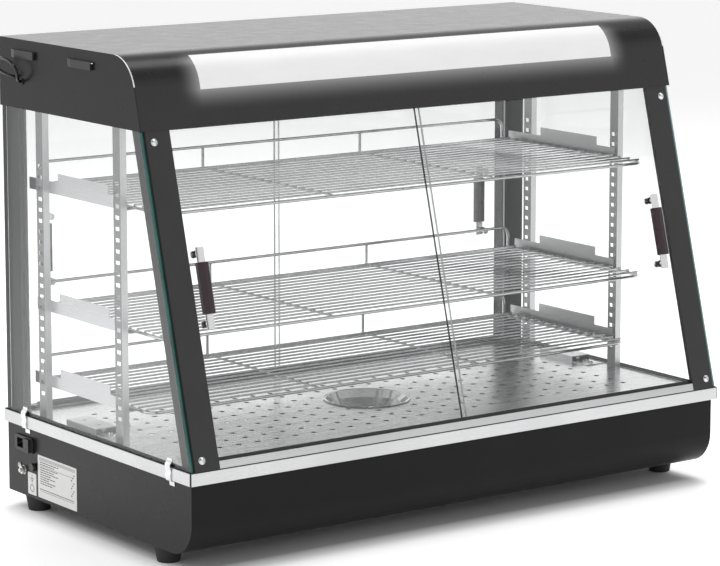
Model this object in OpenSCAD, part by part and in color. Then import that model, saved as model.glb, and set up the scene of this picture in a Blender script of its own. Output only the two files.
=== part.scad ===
// Heated countertop food display case: black base and hood, sloping front with two
// sliding glass doors, glass sides, sliding glass doors at the back, three wire shelves
// on slotted posts and a perforated steel deck with a water bowl.
// Origin: middle of the footprint, at the height of the surface the feet stand on.
// +X is to the viewer's right, -Y is the sloping customer side, +Z is up.

/* [Case] */
// Width over the steel band
band_w = 905; // [880:1:930]
// Depth over the steel band
band_d = 482; // [470:1:500]
// Height of the steel band
band_h = 17; // [14:1:20]
// Height of the black base under the band
base_h = 99; // [95:1:110]
// Height of the rubber feet
foot_h = 22; // [18:1:30]
// Height of the glazed part, from the band to the hood
glazed_h = 429; // [427:1:445]
// Height of the hood
hood_h = 95; // [92:1:105]
// Radius of the hood's rounded nose
nose_r = 52; // [48:1:56]
// Lean of the front, from the vertical
front_tilt = 15; // [14:0.5:16]
// How far the rear handles and the knob stand out behind the band
rear_reach = 13; // [12:1:20]

/* [Doors] */
// Thickness of a sliding door
glass_t = 4; // [3:0.5:4]
// Thickness of a side glass
side_glass_t = 6; // [4:0.5:6]
// Half width of a pair of doors
doors_half = 422; // [418:1:424]
// How far a door passes the line where a pair of doors meets
door_lap = 6; // [5:0.5:12]
// Length of a door handle
handle_l = 108; // [100:1:120]
// Length of the grip on a handle
grip_l = 68; // [60:1:76]

/* [Shelves] */
// Half width of a wire shelf
shelf_half = 414; // [411:0.5:414]
// Diameter of a shelf's frame wire
frame_wire_d = 4.5; // [4:0.25:4.5]
// Diameter of a shelf's infill wires
infill_wire_d = 3; // [2.5:0.25:3]
// Number of slots in a shelf post
slot_count = 22; // [22:1:23]
// Distance between the slots
slot_pitch = 15.1; // [15:0.05:15.3]

/* [Deck] */
// Diameter of the deck's holes
deck_hole_d = 8; // [6:0.5:9]
// Distance between the holes from side to side
deck_pitch_x = 30.6; // [30:0.1:31]
// Distance between the holes from front to back
deck_pitch_y = 30; // [29:0.1:31]
// Outer radius of the water bowl's rim
bowl_r = 62.5; // [58:0.5:64]
// Depth of the water bowl
bowl_depth = 40; // [34:1:44]

/* [Hidden] */
$fn = 64;
cut = 1;                 // how far a cutting tool runs past a face
gap = 0.3;               // between pieces of different bodies
weld = 0.02;             // between wires that are welded where they cross
sheet = 1.2;             // steel sheet

// heights
base_z = foot_h;
band_z = base_z + base_h;
band_top = band_z + band_h;
hood_z = band_top + glazed_h;
top_z = hood_z + hood_h;
gasket_t = 1.2;
sill_z = band_top + gasket_t;      // what stands on the gasket
deck_z = band_top - sheet;         // walking surface of the deck plate
ceiling_z = hood_z + 2;

// depths
band_front = -(band_d + rear_reach) / 2;
band_back = band_front + band_d;
base_front = band_front + 7;
base_back = band_back - 1;
hood_back_y = band_back - 3;
back_plane = band_back - 7.5;      // outer face of the rear pillars
base_nose_r = 48;
floor_front = base_front + base_nose_r + 62;   // opening in the base's underside
floor_back = base_back - 40;

// widths
base_half = band_w / 2 - 5.5;
floor_half = base_half - 50;
deck_half = band_w / 2 - 8;
hood_half = band_w / 2 - 0.5;
end_t = 1.5;                       // hood end caps
glass_out = hood_half - end_t;     // outer face of a side glass
post_out = glass_out - side_glass_t;   // outer face of the corner posts
post_in = glass_out - 43.5;
post_flange = post_out - post_in;
pillar_flange = 30;
pillar_return = 32;                // how far a rear pillar runs forward along the side glass
glass_set_back = 3.4;              // of a side glass's edge, behind the posts' faces
post_return = 30;                  // how far a front post runs back along the side glass
front_meet = 1;                    // where the front doors meet, and the rear doors
rear_meet = -1.7;

// sliding doors, measured inwards from the corner posts' outer faces
return_d = 6;
outer_pane = return_d + 0.5;
inner_pane = outer_pane + glass_t + 2;
track_front = outer_pane - 2;
track_depth = 2 * glass_t + 6;
track_h = 4.6;
groove = 3;
sill_h = 10.3;
front_top = glazed_h / cos(front_tilt);
pane_low = sill_h + sheet + track_h - groove + gap;
front_pane_h = front_top + 7 - pane_low;
rear_pane_low = sill_z + track_h - groove + gap;
rear_pane_h = hood_z + 9 - rear_pane_low;

// handles
front_handle_x = 387;
rear_handle_x = 383;
handle_mid = 234.5;                // up the slope, from the band to a handle's middle
rear_handle_z = band_top + 222;
bar_w = 12;
bar_t = 4;
grip_w = 17;
grip_t = 8;
standoff = 9;
screw_inset = 8;

// shelf posts and shelves
post_x = 429;
post_w = 10;
post_d = 18;
front_post_y = band_front + 203;
rear_post_y = band_back - 77;
first_slot_z = band_top + 350;
shelf_slots = [2, 13, 20];         // the slot that each pair of brackets hangs in
shelf_front = [band_front + 121, band_front + 121, band_front + 157];
shelf_back = [band_back - 32.5, band_back - 49.5, band_back - 40.5];
rail_h = 28.5;
rail_post_x = 139;
wire_count = [16, 16, 15];
surface_over_slot = 2.5;

// deck
bowl_y = band_front + 240;
cover_screw_x = 417;               // screws of the sensing bulbs' covers
cover_screw_y = [-6, 8];
holes_x = 12;                      // columns on each side of the middle one
holes_y = 10;
first_hole_y = band_front + 109.5;

// hood
cover_t = 1.2;
nose_z = top_z - nose_r;
nose_y = band_front + tan(front_tilt) * (nose_z - band_top)
    + (nose_r - cover_t - 0.15) / cos(front_tilt);
window_half = 351;
louvre_y = [band_front + 263, band_front + 413.5];
louvre_l = 65;
louvre_z = top_z - 20;
tube_r = 13;
tube_half = 330;
tube_y = nose_y - 8;
tube_z = nose_z + 4;

// rear controls
control_z = base_z + 50;
knob_x = 290;
dial_x = 215;
power_x = 160;
light_x = 120;
rocker_y = base_back - 3;          // axis of the rockers' pins
rocker_tilt = 8;

// left side of the base
inlet_y = base_back - 47.5;
inlet_z = base_z + 74;
stud_y = base_back - 43.5;
stud_z = base_z + 36;
earth_screw = [stud_y + 11.3, stud_z + 4.8];
reset_y = base_back - 72.5;
reset_z = base_z + 45;

// the lamp lead's loop on the hood's left side
lead_d = 4.2;
lead_route = [
    [-449, 170, 604.5], [-454, 170, 604.5], [-458.5, 168, 606], [-462, 164.5, 610],
    [-464, 161.5, 615.5], [-465.5, 161.5, 621.5], [-466.5, 165, 627], [-467, 171.5, 631],
    [-467, 179.5, 633.5], [-467, 188, 635], [-467, 196.5, 636], [-467, 204.5, 635],
    [-467, 210.5, 630.5], [-467, 212, 624.5], [-466.5, 207.5, 619], [-466, 200, 616.5],
    [-465, 193, 615], [-462.5, 187.5, 613], [-458.5, 184.5, 611], [-454, 183.5, 610],
    [-449, 183.5, 610]];

// ---------------------------------------------------------------- shared shapes

// A flat outline in the Y-Z plane, swept along X and centred on the case
module along_x(length) {
    translate([-length / 2, 0, 0]) rotate([90, 0, 90]) linear_extrude(length) children();
}

// Children drawn once on each side of the case
module both_sides() {
    children();
    mirror([1, 0, 0]) children();
}

// The plane of the sloping front: X across, Z up the slope, Y into the case
module slope() {
    translate([0, band_front, band_top]) rotate([-front_tilt, 0, 0]) children();
}

// The plane of the rear doors, seen from behind: Z up from the band, Y into the case
module rear_plane() {
    translate([0, back_plane, 0]) mirror([0, 1, 0]) children();
}

module rounded_rect(w, h, r) {
    square([w - 2 * r, h], center = true);
    square([w, h - 2 * r], center = true);
    for (sx = [-1, 1], sy = [-1, 1])
        translate([sx * (w / 2 - r), sy * (h / 2 - r)]) circle(r);
}

// Straight rods along the three axes, each from a to b on its own axis
module rod_x(a, b, y, z, r) {
    translate([a, y, z]) rotate([0, 90, 0]) cylinder(h = b - a, r = r);
}

module rod_y(a, b, x, z, r) {
    translate([x, a, z]) rotate([-90, 0, 0]) cylinder(h = b - a, r = r);
}

module rod_z(a, b, x, y, r) {
    translate([x, y, a]) cylinder(h = b - a, r = r);
}

// A quarter bend in the X-Y plane, from +X to +Y about its own centre
module elbow(bend_r, r) {
    rotate_extrude(angle = 90) translate([bend_r, 0]) circle(r);
}

// A pan-head screw standing on its seat, its head along +Z, with a cross recess
module pan_screw(head_r, head_h, shank_r, shank_l) {
    difference() {
        union() {
            cylinder(h = head_h * 0.45, r = head_r);
            translate([0, 0, head_h * 0.45])
                cylinder(h = head_h * 0.55, r1 = head_r, r2 = head_r * 0.62);
        }
        for (a = [0, 90]) rotate(a)
            translate([-head_r * 0.5, -head_r * 0.11, head_h * 0.45])
                cube([head_r, head_r * 0.22, head_h]);
    }
    translate([0, 0, -shank_l]) cylinder(h = shank_l, r = shank_r);
}

// ---------------------------------------------------------------- base

// Side view of the base, drawn in by an inset, with its rounded lower front edge
module base_outline(inset, rise) {
    r = base_nose_r;
    polygon([
        [base_front + inset, band_z + rise], [base_back - inset, band_z + rise],
        [base_back - inset, base_z + inset], [base_front + r, base_z + inset],
        [base_front + r, base_z + r], [base_front + inset, base_z + r]]);
    translate([base_front + r, base_z + r]) circle(r - inset);
}

module base_shell() color([0.16, 0.16, 0.17]) {
    wall = 1.5;
    difference() {
        along_x(2 * base_half) base_outline(0, 0);
        along_x(2 * (base_half - wall)) base_outline(wall, cut);
        // opening in the underside, closed by the bottom plate
        translate([-floor_half, floor_front, base_z - cut])
            cube([2 * floor_half, floor_back - floor_front, wall + 2 * cut]);
        // left side: power inlet, earth stud, reset button
        translate([-base_half - cut, inlet_y - 20.3, inlet_z - 8.3])
            cube([wall + 2 * cut, 40.6, 16.6]);
        rod_x(-base_half - cut, -base_half + wall + cut, stud_y, stud_z, 3.1);
        rod_x(-base_half - cut, -base_half + wall + cut, earth_screw.x, earth_screw.y, 2);
        rod_x(-base_half - cut, -base_half + wall + cut, reset_y, reset_z, 5);
        // back: spindle, dial, two switches
        rod_y(base_back - wall - cut, base_back + cut, knob_x, control_z, 5.1);
        rod_y(base_back - wall - cut, base_back + cut, dial_x, control_z, 20.1);
        for (x = [power_x, light_x])
            translate([x - 9.6, base_back - wall - cut, control_z - 13.1])
                cube([19.2, wall + 2 * cut, 26.2]);
        // cooling slots in the back
        for (i = [0 : 7])
            translate([-340 + 40 * i, base_back - wall - cut, base_z + 42])
                cube([28, wall + 2 * cut, 5]);
    }
}

module bottom_plate() color([0.62, 0.63, 0.64]) {
    plate_half = floor_half + 14;
    translate([0, 0, base_z + 1.5]) linear_extrude(sheet) difference() {
        translate([-plate_half, floor_front - 14])
            square([2 * plate_half, floor_back - floor_front + 28]);
        for (x = [-300 : 60 : 300], y = [-90 : 60 : 90])
            translate([x, y]) rounded_rect(36, 6, 2.9);
    }
}

module feet() color([0.05, 0.05, 0.05]) {
    for (x = [-427, 427], y = [band_front + 95, band_back - 50])
        translate([x, y, 0]) {
            difference() {
                cylinder(h = foot_h, r1 = 15.2, r2 = 19);
                translate([0, 0, -cut]) cylinder(h = 7 + cut, r = 9);
                translate([0, 0, -cut]) cylinder(h = foot_h + 2 * cut, r = 2.7);
            }
        }
}

// ---------------------------------------------------------------- deck

module top_frame() color([0.82, 0.83, 0.84]) {
    rim = 15;
    difference() {
        translate([-band_w / 2, band_front, band_z]) cube([band_w, band_d, band_h]);
        translate([-band_w / 2 + sheet, band_front + sheet, band_z - cut])
            cube([band_w - 2 * sheet, band_d - 2 * sheet, band_h + cut - sheet]);
        translate([-band_w / 2 + rim, band_front + 26, band_z])
            cube([band_w - 2 * rim, band_d - 26 - 27, band_h + cut]);
    }
}

module deck_tray() color([0.78, 0.79, 0.80]) {
    translate([0, 0, deck_z - sheet]) linear_extrude(sheet) difference() {
        translate([-deck_half, band_front + 9]) square([2 * deck_half, band_d - 18]);
        translate([0, bowl_y]) circle(bowl_r - 2.5);
        for (i = [-holes_x : holes_x], j = [0 : holes_y - 1])
            let (x = i * deck_pitch_x, y = first_hole_y + j * deck_pitch_y)
                if (norm([x, y - bowl_y]) > bowl_r + deck_hole_d)
                    translate([x, y]) circle(deck_hole_d / 2, $fn = 24);
        for (x = [-cover_screw_x, cover_screw_x], y = cover_screw_y)
            translate([x, y]) circle(2);
    }
}

module water_bowl() color([0.80, 0.81, 0.82]) {
    r = bowl_r - 2.5 - gap;
    foot = 38;
    translate([0, bowl_y, deck_z + gap]) rotate_extrude($fn = 96)
        polygon([
            [0, -bowl_depth], [foot, -bowl_depth], [r - 4, -10], [r, -4], [r, 0],
            [bowl_r, 0], [bowl_r + 0.5, 0.9], [bowl_r - 0.6, 1.8], [r - 1.2, 1],
            [r - 5.2, -9.6], [foot - 0.6, -bowl_depth + 1], [0, -bowl_depth + 1]]);
}

module probe_brackets() color([0.76, 0.77, 0.78]) {
    both_sides() translate([-434, 18, deck_z]) {
        // folded cover plate over a sensing bulb, with a screw flange in front
        difference() {
            cube([34, 76, 9]);
            translate([sheet, -cut, -cut]) cube([34 - 2 * sheet, 76 + 2 * cut, 9 + cut - sheet]);
            translate([17, 20, 0]) cylinder(h = 20, r = 2.5);
            translate([17, 56, 0]) cylinder(h = 20, r = 2.5);
        }
        difference() {
            translate([sheet, -34, 0]) cube([34 - 2 * sheet, 33.9, sheet]);
            for (y = cover_screw_y)
                translate([434 - cover_screw_x, y - 18, -cut]) cylinder(h = 4, r = 2);
        }
        rod_y(6, 70, 17, 4.2, 3.2);
    }
}

// ---------------------------------------------------------------- glazed frame

module rubber_seals() color([0.03, 0.03, 0.03]) {
    // gasket between the band and everything that stands on it
    difference() {
        translate([-glass_out - 1, band_front + 0.6, band_top])
            cube([2 * glass_out + 2, band_d - 1.2, gasket_t]);
        translate([-post_out + 5, band_front + 24, band_top - cut])
            cube([2 * post_out - 10, band_d - 24 - 26, gasket_t + 2 * cut]);
    }
    // beads in front of the side glasses' sloping edges
    both_sides() slope() translate([-post_out - 0.6, 0.3, 3])
        cube([0.6, glass_set_back - 0.4, front_top + 2]);
    // grommets of the lamp lead
    for (p = [lead_route[0], lead_route[len(lead_route) - 1]])
        translate([-hood_half, p.y, p.z]) rotate([0, -90, 0]) difference() {
            cylinder(h = 1.6, r = 4.6);
            translate([0, 0, -cut]) cylinder(h = 4, r = lead_d / 2 + 0.05);
        }
}

module front_sill() color([0.80, 0.81, 0.82]) {
    half = post_in - 0.2;
    intersection() {
        slope() {
            translate([-half, 0, -4]) cube([2 * half, sheet, sill_h + 4 + sheet]);
            translate([-half, 0, sill_h]) cube([2 * half, track_front + track_depth + 2, sheet]);
            translate([-half, track_front + track_depth + 2, -4])
                cube([2 * half, sheet, sill_h + 4 + sheet]);
        }
        translate([-half, band_front - 20, sill_z]) cube([2 * half, 80, 60]);
    }
}

// A two-groove channel from one end of the doors' travel to the other
module track(half, height) {
    difference() {
        translate([-half, 0, 0]) cube([2 * half, track_depth, height]);
        for (pane = [outer_pane, inner_pane])
            translate([-half - cut, pane - track_front - 0.4, height - groove])
                cube([2 * half + 2 * cut, glass_t + 0.8, groove + cut]);
    }
}

module lower_tracks() color([0.04, 0.04, 0.04]) {
    half = post_in - 0.2;
    slope() translate([0, track_front, sill_h + sheet]) track(half, track_h);
    rear_plane() translate([0, track_front, sill_z]) track(half, track_h);
}

module head_tracks() color([0.04, 0.04, 0.04]) {
    half = post_out - 3;
    height = 9;
    slope() translate([0, track_front, front_top + height + 1])
        mirror([0, 0, 1]) deep_track(half, height);
    rear_plane() translate([0, track_front, hood_z + height + 2.5])
        mirror([0, 0, 1]) deep_track(half, height);
}

// The upper channel's grooves are deeper, so that a door lifts out
module deep_track(half, height) {
    difference() {
        translate([-half, 0, 0]) cube([2 * half, track_depth, height]);
        for (pane = [outer_pane, inner_pane])
            translate([-half - cut, pane - track_front - 0.4, sheet])
                cube([2 * half + 2 * cut, glass_t + 0.8, height]);
    }
}

// Left corner post of the sloping front: flange, side and return
module front_post() color([0.20, 0.20, 0.21]) {
    wall = 1.5;
    length = front_top + 34;
    difference() {
        intersection() {
            slope() {
                translate([-post_out, 0, -8]) cube([post_flange, wall, length + 8]);
                translate([-post_out, 0, -8]) cube([wall, post_return, length + 8]);
                translate([-post_in - wall, 0, -8]) cube([wall, return_d, front_top + 7.5]);
            }
            translate([-post_out - cut, band_front - 20, sill_z]) cube([60, 300, 520]);
        }
        slope() for (z = [15, front_top - 15])
            translate([-433, -cut, z]) rotate([-90, 0, 0]) cylinder(h = 4, r = 2.1);
    }
}

module front_post_left() front_post();

module front_post_right() mirror([1, 0, 0]) front_post();

module rear_pillar() color([0.36, 0.36, 0.37]) {
    wall = 1.5;
    difference() {
        rear_plane() {
            height = hood_z + 26 - sill_z;
            translate([-post_out, 0, sill_z]) cube([pillar_flange, wall, height]);
            translate([-post_out, 0, sill_z]) cube([wall, pillar_return, height]);
        }
        for (z = [sill_z + 14, hood_z - 15])
            rod_y(back_plane - 4, back_plane + cut, -433, z, 2.1);
    }
}

module rear_pillar_left() rear_pillar();

module rear_pillar_right() mirror([1, 0, 0]) rear_pillar();

module side_glass() color([0.75, 0.88, 0.85, 0.35]) {
    set_back = glass_set_back / cos(front_tilt);
    top = hood_z + 22;
    foot = sill_z;
    lean = tan(front_tilt);
    translate([-glass_out, 0, 0]) rotate([90, 0, 90]) linear_extrude(side_glass_t)
        polygon([
            [band_front + set_back + lean * (foot - band_top), foot],
            [back_plane + 0.6, foot], [back_plane + 0.6, top],
            [band_front + set_back + lean * (top - band_top), top]]);
}

module side_glass_left() side_glass();

module side_glass_right() mirror([1, 0, 0]) side_glass();

module frame_screws() color([0.80, 0.81, 0.83]) {
    both_sides() {
        slope() for (z = [15, front_top - 15])
            translate([-433, 0, z]) rotate([90, 0, 0]) {
                difference() {
                    cylinder(h = 0.8, r = 5);
                    translate([0, 0, -cut]) cylinder(h = 3, r = 2.05);
                }
                translate([0, 0, 0.8]) pan_screw(3.8, 2.6, 2, 8);
            }
        for (z = [sill_z + 14, hood_z - 15])
            translate([-433, back_plane, z]) rotate([-90, 0, 0]) pan_screw(3.8, 2.6, 2, 8);
        for (y = cover_screw_y)
            translate([-cover_screw_x, y, deck_z + sheet]) pan_screw(4, 3, 1.9, 7);
    }
}

// One sprung clip on the left side: it grips the base and holds the glass down
module clip_outline() {
    // x runs outwards from the base's side, y up from the foot of the band
    t = 1.1;
    step = band_w / 2 - base_half;
    pane = glass_out - base_half + 0.05;
    polygon([
        [0.05, -8], [t, -8.5], [t + 0.4, -2.4], [step + 0.05 + t, -0.6],
        [step + t + 1.4, band_h * 0.35], [step + t + 0.1, band_h * 0.62],
        [step + t + 1.9, band_h + 1.2], [step + t + 1.4, band_h + 5],
        [pane + t, band_h + 8.6], [pane + t, band_h + 12], [pane, band_h + 12.4],
        [pane, band_h + 7.8], [step + 0.4, band_h + 4.2], [step + 0.9, band_h + 1.6],
        [step + 0.05, band_h * 0.62], [step + 0.2, band_h * 0.35], [step + 0.05, -0.1],
        [0.05, -1.4]]);
}

module spring_clips() color([0.84, 0.85, 0.86]) {
    both_sides() for (y = [band_front + 51.5, band_back - 57.5])
        translate([-base_half, y + 6, band_z]) rotate([90, 0, 0]) mirror([1, 0, 0])
            linear_extrude(12) clip_outline();
}

// ---------------------------------------------------------------- shelf posts

// A slotted channel from the deck to the ceiling, its open side to the back
module shelf_post(y) {
    wall = 1.2;
    height = ceiling_z - deck_z;
    translate([-post_x, y, 0]) difference() {
        translate([-post_w / 2, -post_d / 2, deck_z]) cube([post_w, post_d, height]);
        translate([-post_w / 2 + wall, -post_d / 2 + wall, deck_z - cut])
            cube([post_w - 2 * wall, post_d, height + 2 * cut]);
        for (i = [0 : slot_count - 1])
            translate([-post_w, -5.5, first_slot_z - i * slot_pitch - 2.75])
                cube([2 * post_w, 11, 5.5]);
    }
}

module shelf_posts() color([0.66, 0.67, 0.68]) {
    shelf_post(front_post_y);
    shelf_post(rear_post_y);
}

module shelf_posts_left() shelf_posts();

module shelf_posts_right() mirror([1, 0, 0]) shelf_posts();

function slot_z(level) = first_slot_z - shelf_slots[level] * slot_pitch;
function surface_z(level) = slot_z(level) + surface_over_slot;

// A pair of shelf brackets: a ledge under the shelf and an upright against the posts
module shelf_brackets(level) color([0.72, 0.73, 0.74]) {
    face = post_x - post_w / 2;
    ledge = 16;
    back = shelf_back[level] + 1;
    front = front_post_y - 4;
    low = surface_z(level) - infill_wire_d - frame_wire_d - gap - sheet - 2 * weld;
    both_sides() {
        translate([-face, front, low]) cube([ledge, back - front, sheet]);
        translate([-face, front, low]) cube([sheet, back - front, surface_z(level) + 7.5 - low]);
        translate([-face, front + 43, low]) cube([sheet, 131, surface_z(level) + 20 - low]);
        for (y = [front_post_y, rear_post_y])
            translate([-face - 3.4, y - 3.9, slot_z(level) - 2.2]) {
                cube([3.5, 7.8, 3.2]);
                translate([0, 0, -4]) cube([1.2, 7.8, 4.2]);
            }
    }
}

module shelf_brackets_top() shelf_brackets(0);

module shelf_brackets_middle() shelf_brackets(1);

module shelf_brackets_lower() shelf_brackets(2);

// ---------------------------------------------------------------- wire shelves

module wire_shelf(level) color([0.80, 0.80, 0.81]) {
    r = frame_wire_d / 2;
    thin = infill_wire_d / 2;
    corner = 16;
    rail_bend = 14;
    side = shelf_half - r;
    front = shelf_front[level] + r;
    back = shelf_back[level] - 2 * r;
    pitch = (back - front) / (wire_count[level] + 0.1);
    frame_z = surface_z(level) - infill_wire_d - r - weld;
    infill_z = surface_z(level) - thin;
    rail_z = surface_z(level) + rail_h - r;
    rail_y = back + 2 * r + weld;
    // frame with four rounded corners
    rod_x(-side + corner, side - corner, front, frame_z, r);
    rod_x(-side + corner, side - corner, back, frame_z, r);
    for (s = [-1, 1]) {
        rod_y(front + corner, back - corner, s * side, frame_z, r);
        translate([s * (side - corner), front + corner, frame_z])
            rotate(s > 0 ? -90 : 180) elbow(corner, r);
        translate([s * (side - corner), back - corner, frame_z])
            rotate(s > 0 ? 0 : 90) elbow(corner, r);
        // runners under the infill wires
        rod_y(front + r + weld, back - r - weld, s * rail_post_x, frame_z + r - thin, thin);
        // posts of the rail
        rod_z(frame_z - r, rail_z - r - weld, s * rail_post_x, rail_y, r);
    }
    // infill wires
    for (i = [0 : wire_count[level] - 1])
        rod_x(-side - 1, side + 1, back - (i + 0.55) * pitch, infill_z, thin);
    // rail with two rounded ends, behind the frame
    ends = side - 3;
    translate([0, rail_y, 0]) {
        rod_x(-ends + rail_bend, ends - rail_bend, 0, rail_z, r);
        for (s = [-1, 1]) {
            rod_z(frame_z - r, rail_z - rail_bend, s * ends, 0, r);
            translate([s * (ends - rail_bend), 0, rail_z - rail_bend])
                rotate([90, 0, 0]) rotate(s > 0 ? 0 : 90) elbow(rail_bend, r);
        }
    }
}

module shelf_top() wire_shelf(0);

module shelf_middle() wire_shelf(1);

module shelf_lower() wire_shelf(2);

// ---------------------------------------------------------------- sliding doors

// A pane from x = from to x = to, with two holes for its handle
module pane(from, to, low, height, handle_x, handle_z) color([0.80, 0.90, 0.88, 0.3]) {
    difference() {
        translate([from, 0, low]) cube([to - from, glass_t, height]);
        for (s = [-1, 1])
            translate([handle_x, -cut, handle_z + s * (handle_l / 2 - screw_inset)])
                rotate([-90, 0, 0]) cylinder(h = glass_t + 2 * cut, r = 3);
    }
}

// A strap handle on a pane's face: the bar, its standoffs, screws and nuts
module handle_bar() color([0.80, 0.80, 0.82]) {
    difference() {
        translate([-bar_w / 2, -standoff - bar_t, -handle_l / 2])
            cube([bar_w, bar_t, handle_l]);
        for (s = [-1, 1])
            translate([s * (bar_w / 2 + 1.2), -standoff - bar_t - 1.4, -handle_l / 2 - cut])
                rotate(-s * 30) cube([6, 6, 2 * (handle_l + 2 * cut)], center = true);
    }
    for (s = [-1, 1]) translate([0, 0, s * (handle_l / 2 - screw_inset)]) rotate([-90, 0, 0]) {
        translate([0, 0, -standoff]) cylinder(h = standoff - 2, r = 3.6);
        translate([0, 0, -2]) cylinder(h = glass_t + 4, r = 2.6);
        translate([0, 0, glass_t + 0.6]) difference() {
            cylinder(h = 2.6, r = 5);
            translate([0, 0, -cut]) cylinder(h = 5, r = 2.62);
        }
    }
}

// Rubber washers on the standoffs, and the moulded grip over the bar
module handle_grip() color([0.24, 0.11, 0.15]) {
    translate([0, 0, -grip_l / 2]) linear_extrude(grip_l) difference() {
        front = -standoff - bar_t - 2.6;
        back = front + grip_t;
        polygon([
            [-grip_w / 2, back], [-grip_w / 2, front + 2.2], [-grip_w / 2 + 1.6, front + 0.8],
            [-1.2, front], [1.2, front], [grip_w / 2 - 1.6, front + 0.8],
            [grip_w / 2, front + 2.2], [grip_w / 2, back]]);
        translate([-bar_w / 2 - weld, -standoff - bar_t - weld])
            square([bar_w + 2 * weld, bar_t + 2 * weld]);
    }
    for (s = [-1, 1]) translate([0, 0, s * (handle_l / 2 - screw_inset)]) rotate([-90, 0, 0])
        translate([0, 0, -2]) difference() {
            cylinder(h = 2, r = 5);
            translate([0, 0, -cut]) cylinder(h = 5, r = 2.62);
        }
}

// The right front door runs in the outer groove, the left one in the inner groove
module front_glass_left() slope() translate([0, inner_pane, 0])
    pane(-doors_half, front_meet + door_lap, pane_low, front_pane_h, -front_handle_x, handle_mid);

module front_glass_right() slope() translate([0, outer_pane, 0])
    pane(front_meet - door_lap, doors_half, pane_low, front_pane_h, front_handle_x, handle_mid);

module front_handle_left() slope()
    translate([-front_handle_x, inner_pane, handle_mid]) handle_bar();

module front_handle_right() slope()
    translate([front_handle_x, outer_pane, handle_mid]) handle_bar();

module front_grip_left() slope()
    translate([-front_handle_x, inner_pane, handle_mid]) handle_grip();

module front_grip_right() slope()
    translate([front_handle_x, outer_pane, handle_mid]) handle_grip();

module rear_glass_left() rear_plane() translate([0, outer_pane, 0])
    pane(-doors_half, rear_meet + door_lap, rear_pane_low, rear_pane_h,
        -rear_handle_x, rear_handle_z);

module rear_glass_right() rear_plane() translate([0, inner_pane, 0])
    pane(rear_meet - door_lap, doors_half, rear_pane_low, rear_pane_h,
        rear_handle_x, rear_handle_z);

module rear_handle_left() rear_plane()
    translate([-rear_handle_x, outer_pane, rear_handle_z]) handle_bar();

module rear_handle_right() rear_plane()
    translate([rear_handle_x, inner_pane, rear_handle_z]) handle_bar();

module rear_grip_left() rear_plane()
    translate([-rear_handle_x, outer_pane, rear_handle_z]) handle_grip();

module rear_grip_right() rear_plane()
    translate([rear_handle_x, inner_pane, rear_handle_z]) handle_grip();

// ---------------------------------------------------------------- hood

// Side view of the hood, drawn in by an inset, and run out past its open sides
module hood_outline(inset, past) {
    r = nose_r - inset;
    tip_y = nose_y - r * cos(front_tilt);
    tip_z = nose_z + r * sin(front_tilt);
    low = hood_z - past;
    polygon([
        [hood_back_y + past, low], [hood_back_y + past, top_z - inset],
        [nose_y, top_z - inset], [nose_y, nose_z], [tip_y, tip_z],
        [tip_y - (tip_z - low) * tan(front_tilt), low]]);
    intersection() {
        translate([nose_y, nose_z]) circle(r);
        translate([nose_y - r, nose_z]) square(r);
    }
}

// The sector of the nose that the light window fills, widened by some millimetres
module window_sector(wider) {
    from = 90 + 26 - wider;
    drop = 9.5 + wider;
    far = 2 * nose_r;
    tip_y = nose_y - nose_r * cos(front_tilt) - drop * sin(front_tilt);
    tip_z = nose_z + nose_r * sin(front_tilt) - drop * cos(front_tilt);
    polygon([
        [nose_y, nose_z], [nose_y + far * cos(from), nose_z + far * sin(from)],
        [nose_y - far, top_z + nose_r],
        [tip_y - nose_r * cos(front_tilt), tip_z + nose_r * sin(front_tilt)],
        [tip_y + 0.6 * nose_r * cos(front_tilt), tip_z - 0.6 * nose_r * sin(front_tilt)]]);
}

module hood_cover() color([0.22, 0.22, 0.23]) {
    half = glass_out - 0.1;
    difference() {
        along_x(2 * half) hood_outline(0, 0);
        along_x(2 * half + 2 * cut) hood_outline(cover_t, 20);
        along_x(2 * window_half) window_sector(0);
    }
}

module lamp_window() color([0.97, 0.97, 0.97]) {
    along_x(2 * window_half - 0.4) intersection() {
        difference() {
            hood_outline(0, 0);
            hood_outline(cover_t + 0.1, 20);
        }
        window_sector(-0.2);
    }
    along_x(2 * window_half + 16) intersection() {
        difference() {
            hood_outline(cover_t + 0.1, 0);
            hood_outline(cover_t + 1.6, 20);
        }
        window_sector(8);
    }
}

// A bridge louvre pressed outwards from an end cap, open at its front end
module louvre_shell(length, height, out) {
    translate([0, 0, -height / 2]) linear_extrude(height)
        polygon([[0, -length / 2], [out, -length / 2], [out, length / 2 - 14], [0, length / 2]]);
}

module hood_end() color([0.23, 0.23, 0.24]) {
    translate([-hood_half, 0, 0]) difference() {
        union() {
            rotate([90, 0, 90]) linear_extrude(end_t) hood_outline(0, 0);
            for (y = louvre_y) translate([0.05, y, louvre_z]) mirror([1, 0, 0])
                louvre_shell(louvre_l, 11, 4);
        }
        // the hollow under each louvre, open to the front and through the cap
        for (y = louvre_y) translate([end_t + 0.5, y - 2, louvre_z]) mirror([1, 0, 0])
            louvre_shell(louvre_l - 3, 8.4, 4.4);
    }
}

module hood_end_left() difference() {
    hood_end();
    for (p = [lead_route[0], lead_route[len(lead_route) - 1]])
        rod_x(-hood_half - cut, -hood_half + end_t + cut, p.y, p.z, lead_d / 2 + 0.05);
}

module hood_end_right() mirror([1, 0, 0]) hood_end();

module hood_back() color([0.22, 0.22, 0.23]) {
    half = glass_out - 0.1;
    translate([0, hood_back_y, hood_z]) rotate([90, 0, 0]) linear_extrude(sheet) difference() {
        translate([-half, 0]) square([2 * half, hood_h - cover_t - 0.05]);
        for (x = [-300 : 60 : 300], z = [34, 50, 66])
            translate([x, z]) rounded_rect(40, 6, 2.9);
    }
}

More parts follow.
